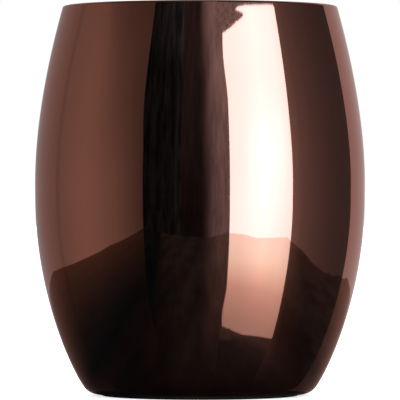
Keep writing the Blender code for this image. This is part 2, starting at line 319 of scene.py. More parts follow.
class Bench:
    """Adds nodes to one material and joins them up."""

    def __init__(self, name: str) -> None:
        """Start a material that has only its shader."""
        self.material = bpy.data.materials.new(name)
        self.material.use_nodes = True
        self.tree = self.material.node_tree
        self.shader = self.tree.nodes["Principled BSDF"]

    def node(self, kind: str, inputs: dict[Union[str, int], NodeInput],
             **settings: object) -> bpy.types.Node:
        """Add a node.

        Args:
            kind: The node's type.
            inputs: A value or another node's output for each socket named.
            settings: The node's own properties.

        Returns:
            The node.
        """
        node = self.tree.nodes.new(kind)
        for name, value in settings.items():
            setattr(node, name, value)
        for socket, value in inputs.items():
            self.feed(node.inputs[socket], value)
        return node

    def feed(self, socket: Socket, value: NodeInput) -> None:
        """Join an output to a socket, or set the socket's own value."""
        if isinstance(value, Socket):
            self.tree.links.new(value, socket)
        elif socket.type == "RGBA" and len(value) == 3:
            socket.default_value = (*value, 1.0)
        else:
            socket.default_value = value

    def sheen_of(self, **values: NodeInput) -> None:
        """Set or feed the shader's sockets; an underscore in a name stands for a space."""
        for name, value in values.items():
            self.feed(self.shader.inputs[name.replace("_", " ")], value)

    def place(self) -> Socket:
        """Where a point is on the piece, in metres."""
        return self.node("ShaderNodeTexCoord", {}).outputs["Object"]

    def ring_place(self, centre: tuple[float, float] = (0.0, 0.0)) -> Socket:
        """Give each point its distance from an axis and its height, so that patterns run round the axis.

        Args:
            centre: Where the axis stands.

        Returns:
            A vector of (distance, 0, height).
        """
        moved = self.node("ShaderNodeVectorMath", {0: self.place(), 1: (-centre[0], -centre[1], 0.0)},
                          operation="ADD").outputs[0]
        flat = self.node("ShaderNodeVectorMath", {0: moved, 1: (1.0, 1.0, 0.0)},
                         operation="MULTIPLY").outputs[0]
        distance = self.node("ShaderNodeVectorMath", {0: flat}, operation="LENGTH").outputs["Value"]
        split = self.node("ShaderNodeSeparateXYZ", {0: moved})
        return self.node("ShaderNodeCombineXYZ", {"X": distance, "Z": split.outputs["Z"]}).outputs[0]

    def height(self) -> Socket:
        """Height above the table."""
        return self.node("ShaderNodeSeparateXYZ", {0: self.place()}).outputs["Z"]

    def stretched(self, place: Socket, scale: Colour, turn: float = 0.0) -> Socket:
        """Stretch a place so that a pattern read there is drawn out.

        Args:
            place: The place to stretch.
            scale: Factor along each axis.
            turn: Turn about the upright axis, in radians.

        Returns:
            The stretched place.
        """
        return self.node("ShaderNodeMapping", {"Vector": place, "Rotation": (0.0, 0.0, turn),
                                               "Scale": scale}).outputs[0]

    def grain(self, place: Socket, size: float, detail: float = 2.0,
              roughness: float = 0.5) -> Socket:
        """Random grain.

        Args:
            place: Where to read it.
            size: Size of its largest blotches, in metres.
            detail: Octaves of finer grain.
            roughness: Strength of the finer octaves.

        Returns:
            A value from 0 to 1, mostly near 0.5.
        """
        return self.node("ShaderNodeTexNoise", {"Vector": place, "Scale": 1 / size, "Detail": detail,
                                                "Roughness": roughness}).outputs["Fac"]

    def ranged(self, value: Socket, source: tuple[float, float] = MOST_GRAIN,
               target: tuple[float, float] = WHOLE) -> Socket:
        """Map a value from one range to another, held at both ends."""
        return self.node("ShaderNodeMapRange", {"Value": value, "From Min": source[0], "From Max": source[1],
                                                "To Min": target[0], "To Max": target[1]},
                         clamp=True).outputs["Result"]

    def maths(self, operation: str, first: NodeInput, second: NodeInput) -> Socket:
        """Work out one sum from two values."""
        return self.node("ShaderNodeMath", {0: first, 1: second}, operation=operation).outputs[0]

    def tinted(self, amount: Socket, first: Colour, second: Colour) -> Socket:
        """Blend from the first colour at 0 to the second at 1."""
        mix = self.node("ShaderNodeMix", {0: amount, 6: first, 7: second}, data_type="RGBA")
        return mix.outputs[2]

    def bumped(self, height: Socket, depth: float) -> Socket:
        """Turn a height pattern into a bumped normal, with depth in metres."""
        return self.node("ShaderNodeBump", {"Height": height, "Distance": depth}).outputs[0]

    def along(self, direction: Colour) -> Socket:
        """How far a point lies from the axis in a direction across the table."""
        return self.node("ShaderNodeVectorMath", {0: self.place(), 1: direction},
                         operation="DOT_PRODUCT").outputs["Value"]

    def stored(self, name: str) -> Socket:
        """A value stored at the mesh's corners."""
        return self.node("ShaderNodeAttribute", {}, attribute_name=name).outputs["Fac"]

    def covered(self, surface: bpy.types.Node) -> bpy.types.Material:
        """Use another shader in place of the usual one, and give the material."""
        self.tree.nodes.remove(self.shader)
        self.tree.links.new(surface.outputs[0], self.tree.nodes["Material Output"].inputs["Surface"])
        return self.material


class Finish:
    """A surface finish; each kind says how it dresses its material."""

    name: str

    def material(self) -> bpy.types.Material:
        """Make the material."""
        bench = Bench(self.name)
        self.dress(bench)
        return bench.material

    def dress(self, bench: Bench) -> None:
        """Set up the material's shader."""
        raise NotImplementedError


@dataclass(frozen=True)
class MirrorCopper(Finish):
    """Dark copper coating on mirror-polished steel, with a faint polishing haze."""

    name: str = "mirror_copper"
    clean: Colour = (0.43, 0.187, 0.131)
    dark: Colour = (0.415, 0.178, 0.124)
    gloss: tuple[float, float] = (0.022, 0.045)
    worn_gloss: float = 0.12
    worn_height: float = 1.6 * MM
    lowest_metal: float = 0.4 * MM
    line_width: float = 0.16 * MM
    cloud: float = 22 * MM

    def dress(self, bench: Bench) -> None:
        """Set up the material's shader."""
        lines = bench.grain(bench.ring_place(), self.line_width, 3.0, 0.6)
        clouds = bench.grain(bench.place(), self.cloud, 2.0)
        haze = bench.maths("MULTIPLY", bench.ranged(lines, (0.35, 0.7), (0.55, 1.0)),
                           bench.ranged(clouds, MOST_GRAIN, (0.7, 1.0)))
        polish = bench.ranged(haze, (0.35, 1.0), self.gloss)
        scuffs = bench.grain(bench.stretched(bench.place(), (1.0, 1.0, 4.0)), 0.8 * MM, 4.0, 0.7)
        low = bench.ranged(bench.height(), (self.worn_height, self.lowest_metal), WHOLE)
        wear = bench.maths("MULTIPLY", bench.ranged(scuffs, (0.45, 0.6), WHOLE), low)
        rough = bench.maths("MAXIMUM", polish, bench.maths("MULTIPLY", wear, self.worn_gloss))
        bench.sheen_of(Base_Color=bench.tinted(bench.ranged(clouds), self.dark, self.clean),
                       Metallic=1.0, Roughness=rough, Normal=bench.bumped(lines, 0.00002 * MM))


@dataclass(frozen=True)
class TurnedMetal(Finish):
    """Bare or coated metal with fine rings from spinning or brushing, and a few stains."""

    name: str
    light: Colour
    dark: Colour
    gloss: tuple[float, float]
    ring_width: float
    ring_depth: float
    stain: float = 9 * MM
    centre: tuple[float, float] = (0.0, 0.0)

    def dress(self, bench: Bench) -> None:
        """Set up the material's shader."""
        rings = bench.grain(bench.ring_place(self.centre), self.ring_width, 4.0, 0.65)
        stains = bench.grain(bench.place(), self.stain, 4.0)
        mixed = bench.maths("MULTIPLY", bench.ranged(rings, MOST_GRAIN, (0.6, 1.0)),
                            bench.ranged(stains, MOST_GRAIN, (0.75, 1.0)))
        shade = bench.ranged(mixed, (0.45, 0.95))
        bench.sheen_of(Base_Color=bench.tinted(shade, self.dark, self.light), Metallic=1.0,
                       Roughness=bench.ranged(mixed, (0.45, 0.95), self.gloss),
                       Normal=bench.bumped(rings, self.ring_depth))


@dataclass(frozen=True)
class CrinkledFoil(Finish):
    """Bright rolled foil, lightly creased by hand."""

    name: str = "rolled_foil"

    def dress(self, bench: Bench) -> None:
        """Set up the material's shader."""
        rolling = bench.grain(bench.stretched(bench.place(), (0.05, 0.05, 1.0)), 0.12 * MM, 3.0)
        creases = bench.node("ShaderNodeTexVoronoi", {"Vector": bench.place(), "Scale": 1 / (4.5 * MM)},
                             feature="DISTANCE_TO_EDGE").outputs["Distance"]
        folds = bench.maths("ADD", bench.ranged(creases, (0.0, 0.12), REVERSED),
                            bench.maths("MULTIPLY", rolling, 0.1))
        bench.sheen_of(Base_Color=bench.tinted(bench.ranged(rolling),
                                               (0.74, 0.74, 0.76), (0.86, 0.86, 0.87)),
                       Metallic=1.0, Roughness=bench.ranged(rolling, MOST_GRAIN, (0.12, 0.26)),
                       Normal=bench.bumped(folds, 0.03 * MM))


@dataclass(frozen=True)
class HeatTinted(Finish):
    """Weld metal, ripple by ripple straw to blue."""

    name: str = "heat_tinted_weld"
    straw: Colour = (0.42, 0.34, 0.22)
    blue: Colour = (0.22, 0.24, 0.33)

    def dress(self, bench: Bench) -> None:
        """Set up the material's shader."""
        tint = bench.grain(bench.place(), 2.2 * MM, 3.0)
        scale = bench.grain(bench.place(), 0.25 * MM, 4.0, 0.7)
        bench.sheen_of(Base_Color=bench.tinted(bench.ranged(tint, (0.35, 0.65)), self.straw, self.blue),
                       Metallic=1.0, Roughness=bench.ranged(scale, MOST_GRAIN, (0.28, 0.55)),
                       Normal=bench.bumped(scale, 0.02 * MM))


@dataclass(frozen=True)
class SolderGlass(Finish):
    """Dark solder glass, run smooth in the furnace, with a few pits."""

    name: str = "dark_solder_glass"

    def dress(self, bench: Bench) -> None:
        """Set up the material's shader."""
        swirl = bench.grain(bench.stretched(bench.place(), (1.0, 1.0, 3.0), 0.6), 1.4 * MM, 3.0)
        pits = bench.grain(bench.place(), 0.18 * MM, 2.0)
        bench.sheen_of(Base_Color=bench.tinted(swirl, (0.03, 0.045, 0.038), (0.09, 0.11, 0.095)),
                       Roughness=bench.ranged(pits, (0.55, 0.7), (0.1, 0.4)), IOR=1.65,
                       Normal=bench.bumped(bench.ranged(pits, (0.55, 0.75), REVERSED), 0.03 * MM))


@dataclass(frozen=True)
class SinteredPowder(Finish):
    """Pressed and sintered metal powder: dark, dull and grainy."""

    name: str = "sintered_powder"

    def dress(self, bench: Bench) -> None:
        """Set up the material's shader."""
        grains = bench.node("ShaderNodeTexVoronoi", {"Vector": bench.place(), "Scale": 1 / (0.12 * MM)},
                            feature="F1").outputs["Distance"]
        patches = bench.grain(bench.place(), 1.0 * MM, 3.0)
        bench.sheen_of(Base_Color=bench.tinted(patches, (0.06, 0.06, 0.065), (0.15, 0.145, 0.14)),
                       Metallic=0.6, Roughness=bench.ranged(grains, (0.1, 0.7), (0.55, 0.85)),
                       Normal=bench.bumped(grains, 0.04 * MM))


@dataclass(frozen=True)
class MouldedSilicone(Finish):
    """Matt black silicone with the mould's fine eroded texture and a little dust."""

    name: str = "moulded_silicone"

    def dress(self, bench: Bench) -> None:
        """Set up the material's shader."""
        erosion = bench.grain(bench.place(), 0.09 * MM, 3.0, 0.6)
        dust = bench.grain(bench.place(), 3.0 * MM, 5.0, 0.7)
        bench.sheen_of(Base_Color=bench.tinted(bench.ranged(dust, (0.5, 0.75)),
                                               (0.003, 0.003, 0.0032), (0.009, 0.0088, 0.0085)),
                       Roughness=bench.ranged(erosion, MOST_GRAIN, (0.55, 0.75)), IOR=1.4,
                       Specular_IOR_Level=0.12, Normal=bench.bumped(erosion, 0.012 * MM))


SATIN_STEEL = TurnedMetal("satin_spun_steel", light=(0.72, 0.70, 0.67), dark=(0.62, 0.60, 0.57),
                          gloss=(0.24, 0.38), ring_width=0.14 * MM, ring_depth=0.003 * MM)
PRESSED_STEEL = TurnedMetal("mill_pressed_steel", light=(0.56, 0.55, 0.54), dark=(0.42, 0.41, 0.40),
                            gloss=(0.3, 0.46), ring_width=0.4 * MM, ring_depth=0.002 * MM)
BRUSHED_COPPER = TurnedMetal("round_brushed_copper", light=(0.47, 0.25, 0.175), dark=(0.37, 0.175, 0.12),
                             gloss=(0.2, 0.36), ring_width=0.11 * MM, ring_depth=0.004 * MM)


# ---------------------------------------------------------------- sub-assemblies

@dataclass
class CupWalls:
    """Both walls and the dressed weld that joins them at the mouth."""

    form: BarrelForm
    steps: int = 256
    course_steps: int = 56
    heel_steps: int = 14
    lip_steps: int = 20
    vacuum_gap: float = 3.6 * MM
    flange_underside: float = 1.7 * MM
    flange_hole_radius: float = 21.9 * MM
    neck_top: float = 94.0 * MM
    neck_bottom: float = 82.0 * MM
    neck_reach: float = 5.0 * MM
    floor_underside: float = 7.5 * MM
    corner_radius: float = 9.0 * MM
    neck_steps: int = 6
    bend_steps: int = 12
    floor_steps: int = 8
    lip_finish: MirrorCopper = MirrorCopper("mirror_copper_lip", gloss=(0.03, 0.06))

    def build(self) -> None:
        """Make the shell, the lip and the drinking cup."""
        self.shell()
        self.lip()
        self.cup()

    def shell(self) -> bpy.types.Object:
        """Make the polished outer shell, from the lip down to its flange."""
        form = self.form
        up = spread(0.0, 2.0, 2 * self.course_steps)
        outside = [form.wall_top] + [form.wall(u) for u in reversed(up)]
        heel_turn = (-form.heel_lean, -math.pi / 2)
        outside += arc(form.heel_centre, form.heel_radius, *heel_turn, self.heel_steps)[1:]
        inner_heel = form.heel_radius - form.shell_sheet
        inside = arc(form.heel_centre, inner_heel, *reversed(heel_turn), self.heel_steps)[:-1]
        inside += [form.wall(u, form.shell_sheet) for u in spread(0.0, 2.0, self.course_steps)]
        inside.append(form.wall_top - form.shell_sheet * form.across)
        groove_wall = form.flat_radius - form.shell_sheet
        groove_top = self.flange_underside + form.shell_sheet
        base = line_of((groove_wall, form.shell_foot), (groove_wall, self.flange_underside),
                       (self.flange_hole_radius, self.flange_underside),
                       (self.flange_hole_radius, groove_top), (form.flat_radius, groove_top))
        mesh = Lathe.turned(outside + base + inside, self.steps)
        return Lathe.piece("polished_shell", mesh, MirrorCopper(), "copper_mirror", "outer_shell")

    def lip(self) -> bpy.types.Object:
        """Make the half-round lip, which closes the space between the walls."""
        form = self.form
        start = form.mouth_lean
        outline = arc(form.lip_centre, form.lip_radius, start, start + math.pi, self.lip_steps)
        mesh = Lathe.turned(outline, self.steps)
        return Lathe.piece("dressed_lip", mesh, self.lip_finish, "copper_lip", "lip_weld")

    def cup_line(self, sheet: float) -> Outline:
        """Trace one face of the drinking cup.

        Args:
            sheet: How far inside the cup's outer face the line lies.

        Returns:
            Points from the lip down to the axis.
        """
        form = self.form
        inset = form.shell_sheet + self.vacuum_gap + sheet
        radius = self.corner_radius - sheet
        floor = self.floor_underside + sheet
        corner = form.find(lambda u: form.wall(u, inset + radius).y < floor + radius)
        centre = form.wall(corner, inset + radius)
        turn = form.wall(corner, inset) - centre
        side_top = form.at_height(self.neck_bottom, inset)
        lip = form.wall_top - (form.shell_sheet + form.lip_gap + sheet) * form.across
        neck = Vector((lip.x, self.neck_top))
        swell = form.wall(side_top, inset)
        _, way = form.course(side_top)
        leaving = neck - Vector((0.0, self.neck_reach))
        bend = [bezier(neck, leaving, swell + self.neck_reach * way, swell, t)[0]
                for t in spread(0.0, 1.0, self.bend_steps)]
        line = [lip + (neck - lip) * t for t in spread(0.0, 1.0, self.neck_steps)[:-1]] + bend[:-1]
        line += [form.wall(u, inset) for u in reversed(spread(corner, side_top, self.course_steps))]
        line += arc(centre, radius, math.atan2(turn.y, turn.x), -math.pi / 2, self.heel_steps)[1:]
        line += [Vector((centre.x * t, floor)) for t in spread(1.0, 0.0, self.floor_steps)[1:]]
        return line

    def cup(self) -> bpy.types.Object:
        """Make the drinking cup, a deep-drawn liner held only at its lip."""
        outline = list(reversed(self.cup_line(0.0))) + self.cup_line(self.form.cup_sheet)
        mesh = Lathe.turned(outline, self.steps)
        return Lathe.piece("spun_liner", mesh, SATIN_STEEL, "satin_steel", "inner_cup")


@dataclass
class VacuumSpace:
    """What lies between the walls: the foil against radiant heat, and the getter on the base plate."""

    form: BarrelForm
    foil_inset: float = 3.9 * MM
    foil_sheet: float = 0.08 * MM
    foil_bottom: float = 20.0 * MM
    foil_top: float = 80.0 * MM
    foil_steps: int = 190
    slot_steps: int = 3
    foil_rows: int = 44
    crease_depth: float = 0.14 * MM
    crease_size: float = 5.0 * MM
    dish_offset: float = 10.2 * MM
    dish_radius: float = 4.6 * MM
    dish_sheet: float = 0.3 * MM
    dish_steps: int = 72
    dish_rounding: float = 0.1 * MM
    pellet_rounding: float = 0.25 * MM

    def build(self) -> None:
        """Make the foil and the getter's two pieces."""
        self.foil()
        self.dish()
        self.pellet()

    def foil(self) -> bpy.types.Object:
        """Make the foil, wrapped almost once round and lightly creased."""
        form = self.form
        stations = [form.at_height(h) for h in spread(self.foil_bottom, self.foil_top, self.foil_rows)]
        mesh = bmesh.new()
        line = [form.wall(u, self.foil_inset) for u in stations]
        corners = [mesh.verts.new((p.x, 0.0, p.y)) for p in line]
        edges = [mesh.edges.new(pair) for pair in zip(corners, corners[1:])]
        turn = math.tau * self.foil_steps / (self.foil_steps + self.slot_steps)
        bmesh.ops.spin(mesh, geom=corners + edges, cent=(0.0, 0.0, 0.0), axis=(0.0, 0.0, 1.0),
                       angle=turn, steps=self.foil_steps)
        Lathe.tidy(mesh)
        if sum(f.normal.dot(f.calc_center_median() * Vector((1, 1, 0))) for f in mesh.faces) < 0:
            bmesh.ops.reverse_faces(mesh, faces=mesh.faces)
        for corner in mesh.verts:
            outwards = Vector((corner.co.x, corner.co.y, 0.0)).normalized()
            corner.co += outwards * self.crease_depth * noise.noise(corner.co / self.crease_size)
        bmesh.ops.solidify(mesh, geom=list(mesh.faces), thickness=self.foil_sheet)
        bmesh.ops.recalc_face_normals(mesh, faces=mesh.faces)
        return Lathe.piece("foil_wrap", mesh, CrinkledFoil(), "bright_foil", "radiant_foil")

    def dish(self) -> bpy.types.Object:
        """Make the getter's small pressed dish."""
        low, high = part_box("getter_holder")
        inner = self.dish_radius - self.dish_sheet
        outline = line_of((0.0, low.z + self.dish_sheet), (inner, low.z + self.dish_sheet), (inner, high.z),
                          (self.dish_radius, high.z), (self.dish_radius, low.z), (0.0, low.z))
        centre = (self.dish_offset, 0.0)
        mesh = Lathe.turned(outline, self.dish_steps, centre)
        Lathe.soften(mesh, self.dish_rounding)
        finish = TurnedMetal("drawn_dish_steel", (0.58, 0.57, 0.55), (0.47, 0.46, 0.44), (0.28, 0.42),
                             0.2 * MM, 0.002 * MM, 2.0 * MM, centre)
        return Lathe.piece("getter_dish", mesh, finish, "pressed_steel", "getter_holder")

    def pellet(self) -> bpy.types.Object:
        """Make the sintered pellet that lies in the dish."""
        low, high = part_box("getter_pellet")
        radius = (high.x - low.x) / 2
        outline = line_of((0.0, high.z), (radius, high.z), (radius, low.z), (0.0, low.z))
        mesh = Lathe.turned(outline, self.dish_steps, (self.dish_offset, 0.0))
        Lathe.soften(mesh, self.pellet_rounding)
        return Lathe.piece("getter_cake", mesh, SinteredPowder(), "sintered_metal", "getter_pellet")


@dataclass
class SealedBase:
    """The plate that closes the vacuum space, its weld and the glass bead in its pump-out hole."""

    steps: int = 160
    plate_sheet: float = 0.6 * MM
    step_radius: float = 16.0 * MM
    step_rise: float = 0.8 * MM
    dimple_radius: float = 4.0 * MM
    dimple_rise: float = 1.0 * MM
    dimple_ramp: float = 0.8 * MM
    hole_radius: float = 1.0 * MM
    press_radius: float = 0.2 * MM
    ripples: int = 110
    ripple_depth: float = 0.05 * MM
    ripple_bow: float = 0.35
    weld_steps: int = 16
    bead_steps: int = 64
    dome_steps: int = 14
    bead_rounding: float = 0.12 * MM
    bead_bulge: float = 0.9 * MM
    bead_edge: float = 0.3 * MM
    stub_radius: float = 0.7 * MM

    def build(self) -> None:
        """Make the plate, the weld and the bead."""
        self.plate()
        self.weld()
        self.bead()

    def plate_face(self, radius: float, height: float) -> Outline:
        """Trace one face of the plate, from its rim to the pump-out hole.

        Args:
            radius: The plate's own radius.
            height: How high the face lies at the rim.

        Returns:
            Points from the rim inwards.
        """
        step = height + self.step_rise
        return line_of((radius, height), (self.step_radius + self.step_rise, height),
                       (self.step_radius, step), (self.dimple_radius + self.dimple_ramp, step),
                       (self.dimple_radius, step + self.dimple_rise),
                       (self.hole_radius, step + self.dimple_rise))

    def plate(self) -> bpy.types.Object:
        """Make the pressed plate with its stepped middle and dimple."""
        low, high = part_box("vacuum_base_plate")
        upper = self.plate_face(high.x, low.z + self.plate_sheet)
        mesh = Lathe.turned(self.plate_face(high.x, low.z) + upper[::-1], self.steps)
        Lathe.soften(mesh, self.press_radius)
        return Lathe.piece("pressed_plate", mesh, PRESSED_STEEL, "raw_steel", "vacuum_base_plate")

    def weld(self) -> bpy.types.Object:
        """Make the weld bead round the plate, rippled along its run."""
        low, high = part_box("base_weld")
        middle = (low.z + high.z) / 2
        half = (high.z - low.z) / 2 - self.ripple_depth
        outer = high.x - self.ripple_depth
        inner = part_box("vacuum_base_plate")[1].x + self.plate_sheet / 2
        across = (outer - inner) / 2
        outline = [Vector((inner + across + across * math.cos(a), middle + half * math.sin(a)))
                   for a in spread(0.0, math.tau, self.weld_steps)[:-1]]
        mesh = Lathe.turned(outline, 4 * self.ripples)
        for corner in mesh.verts:
            angle = math.atan2(corner.co.y, corner.co.x)
            lift = (corner.co.z - middle) / half
            saw = (angle / math.tau * self.ripples + self.ripple_bow * lift**2) % 1.0
            corner.co.z += self.ripple_depth * lift * (1 - saw)
        return Lathe.piece("rippled_weld", mesh, HeatTinted(), "weld_steel", "base_weld")

    def bead(self) -> bpy.types.Object:
        """Make the glass bead that hangs below the pump-out hole, with a stub up through it."""
        low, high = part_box("seal_bead")
        top = low.z + self.bead_bulge
        radius = high.x
        fall = self.bead_bulge - self.bead_edge
        dome = [Vector((radius * math.cos(a), top - self.bead_edge - fall * math.sin(a)))
                for a in spread(0.0, math.pi / 2, self.dome_steps)]
        dome[-1] = Vector((0.0, low.z))
        stub = line_of((0.0, high.z), (self.stub_radius, high.z), (self.stub_radius, top), (radius, top))
        mesh = Lathe.turned(stub + dome, self.bead_steps)
        Lathe.soften(mesh, self.bead_rounding)
        return Lathe.piece("glass_bead", mesh, SolderGlass(), "solder_glass", "seal_bead")


@dataclass
class Foot:
    """What shows from below: the brushed cover disc and the soft ring that the cup stands on."""

    steps: int = 200
    recess_radius: float = 18.5 * MM
    recess_rise: float = 0.25 * MM
    recess_ramp: float = 0.8 * MM
    cover_sheet: float = 0.5 * MM
    cover_rounding: float = 0.12 * MM
    ring_rounding: float = 0.28 * MM
    ring_clearance: float = 0.3 * MM
    rounding_faces: int = 5
    recess_steps: int = 6

    def build(self) -> None:
        """Make the cover and the ring."""
        self.cover()
        self.ring()

    def cover_face(self, radius: float, height: float) -> Outline:
        """Trace one face of the cover, from its rim to the axis.

        Args:
            radius: The cover's own radius.
            height: How high the face lies at the rim.

        Returns:
            Points from the rim inwards.
        """
        recess = height + self.recess_rise
        flat = line_of((radius, height), (self.recess_radius, height))
        flat_radius = self.recess_radius - self.recess_ramp
        return flat + [Vector((flat_radius * t, recess)) for t in spread(1.0, 0.0, self.recess_steps)]

    def cover(self) -> bpy.types.Object:
        """Make the thin cover disc."""
        low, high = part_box("base_cover")
        upper = low.z + self.cover_sheet
        outline = list(reversed(self.cover_face(high.x, low.z))) + self.cover_face(high.x, upper)
        mesh = Lathe.turned(outline, self.steps)
        Lathe.soften(mesh, self.cover_rounding)
        return Lathe.piece("brushed_cover", mesh, BRUSHED_COPPER, "brushed_copper", "base_cover")

    def ring(self) -> bpy.types.Object:
        """Make the foot ring, its corners rounded by the mould."""
        low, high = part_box("foot_ring")
        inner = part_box("base_cover")[1].x + self.ring_clearance
        outline = line_of((high.x, high.z), (high.x, low.z), (inner, low.z), (inner, high.z))
        mesh = Lathe.turned(outline, self.steps)
        Lathe.soften(mesh, self.ring_rounding, self.rounding_faces)
        return Lathe.piece("moulded_foot", mesh, MouldedSilicone(), "black_silicone", "foot_ring")


# ---------------------------------------------------------------- studio

class Seen(Enum):
    """Which rays see a part of the studio."""

    BY_CAMERA = "camera"
    BY_METAL = "metal"

    def apply(self, part: bpy.types.Object) -> None:
        """Set the part's visibility."""
        by_camera = self is Seen.BY_CAMERA
        part.visible_camera = by_camera
        part.visible_diffuse = by_camera
        part.visible_shadow = by_camera
        part.visible_transmission = by_camera
        part.visible_glossy = not by_camera


@dataclass(frozen=True)
class Course:
    """How brightly a panel glows along one level line.

    Angles are in degrees as seen from the foot of the cup: azimuth 0 is in front and positive to the right.
    """

    elevation: float
    glow: tuple[tuple[float, float], ...]


@dataclass(frozen=True)
class GlowPanel:
    """One upright curved panel of light round the cup, seen only in its metal."""

    name: str
    tint: Colour
    courses: tuple[Course, ...]
    top: tuple[tuple[float, float], ...] = ((0.0, 52.0),)
    bottom: float = -52.0
    left_sway: tuple[tuple[float, float], ...] = ((0.0, 0.0),)
    right_sway: tuple[tuple[float, float], ...] = ((0.0, 0.0),)
    distance: float = 880 * MM
    clutter: float = 0.0
    step: float = 1.0
    rows: int = 52

    @property
    def left(self) -> float:
        """Azimuth of the left edge."""
        return self.courses[0].glow[0][0]

    @property
    def right(self) -> float:
        """Azimuth of the right edge."""
        return self.courses[0].glow[-1][0]

    def glow(self, azimuth: float, elevation: float) -> float:
        """Glow at one place on the panel."""
        levels = [(course.elevation, between_stops(course.glow, azimuth)) for course in self.courses]
        return between_stops(levels, elevation)

    def build(self) -> bmesh.types.BMesh:
        """Spin an upright line round the cup, trim it to the panel's top, and store the glow on it."""
        mesh = bmesh.new()
        level = mesh.verts.layers.float.new("glow")
        start = math.radians(self.left - 90)
        line = [mesh.verts.new((self.distance * math.cos(start), self.distance * math.sin(start), share))
                for share in spread(0.0, 1.0, self.rows)]
        edges = [mesh.edges.new(pair) for pair in zip(line, line[1:])]
        bmesh.ops.spin(mesh, geom=line + edges, cent=(0.0, 0.0, 0.0), axis=(0.0, 0.0, 1.0),
                       angle=math.radians(self.right - self.left),
                       steps=math.ceil((self.right - self.left) / self.step))
        for corner in mesh.verts:
            turned = math.degrees(math.atan2(corner.co.y, corner.co.x) - start) % 360
            azimuth = self.left + (turned if turned < FULL_TURN else 0.0)
            top = between_stops(self.top, azimuth)
            elevation = self.bottom + (top - self.bottom) * corner.co.z
            corner[level] = self.glow(azimuth, elevation)
            share = (azimuth - self.left) / (self.right - self.left)
            sway = between_stops(self.left_sway, elevation) * (1 - share)
            sway += between_stops(self.right_sway, elevation) * share
            turn = math.radians(azimuth + sway)
            rise = math.tan(math.radians(elevation))
            corner.co = self.distance * Vector((math.sin(turn), -math.cos(turn), rise))
        return mesh


FULL_TURN = 359.9                # degrees; more than this is rounding at the start of a turn
WARM = (1.155, 1.0, 0.97)
WARMER = (1.22, 1.0, 0.99)
COOL = (1.0, 1.1, 1.35)
BLUISH = (1.05, 1.0, 1.1)
SHADOW_BLUE = (0.6, 1.0, 1.3)
SOFTBOX_WHITE = (0.55, 0.77, 1.0)
DRAPE_EDGE = ((12.0, 2.0), (18.0, 0.8), (22.0, 0.4), (28.0, 1.0), (34.0, 1.6))
SOFTBOX_LEFT_EDGE = ((22.7, 0.0), (25.0, -0.5), (27.5, -1.5), (29.5, -2.1), (32.3, -2.2), (34.0, -1.2))
SOFTBOX_RIGHT_EDGE = ((18.0, 0.0), (25.0, 0.4), (31.0, 0.9), (34.0, 1.4))

# Painted light: the lit rows are used where the softbox would light the table, the unlit rows elsewhere
# Part of the light that the table sends back, from 0 seen from straight above to 1 along its surface
LIT_TABLE_SHINE = (
    (0.10, (0.004, 0.004, 0.004)), (0.25, (0.035, 0.03, 0.03)), (0.33, (0.10, 0.075, 0.075)),
    (0.38, (0.20, 0.15, 0.125)), (0.45, (0.24, 0.172, 0.142)), (0.51, (0.30, 0.215, 0.172)),
    (0.58, (0.375, 0.28, 0.223)), (0.64, (0.49, 0.415, 0.33)), (0.70, (0.565, 0.54, 0.45)),
    (0.76, (0.62, 0.60, 0.52)), (0.90, (0.75, 0.68, 0.60)))
UNLIT_TABLE_SHINE = (
    (0.30, (0.002, 0.003, 0.003)), (0.45, (0.006, 0.015, 0.025)), (0.55, (0.022, 0.035, 0.045)),
    (0.60, (0.045, 0.05, 0.06)), (0.65, (0.09, 0.085, 0.085)), (0.70, (0.15, 0.13, 0.11)),
    (0.75, (0.22, 0.18, 0.15)), (0.80, (0.32, 0.245, 0.19)), (0.86, (0.42, 0.32, 0.28)))

# Corners of the flag: azimuth and elevation in degrees, and the width of the frayed edge there
FLAG_OUTLINE = (
    (13.0, 33.2, 0.1), (18.0, 33.9, 0.12), (21.2, 34.2, 0.15), (25.5, 34.45, 0.15), (29.3, 34.92, 0.15),
    (33.6, 35.1, 0.13), (36.8, 35.35, 0.12), (36.2, 35.75, 0.12), (31.0, 36.4, 0.12), (27.0, 36.75, 0.12),
    (29.0, 37.8, 0.1), (13.0, 38.5, 0.1))
FLAG_MIDDLE = (24.0, 35.6)

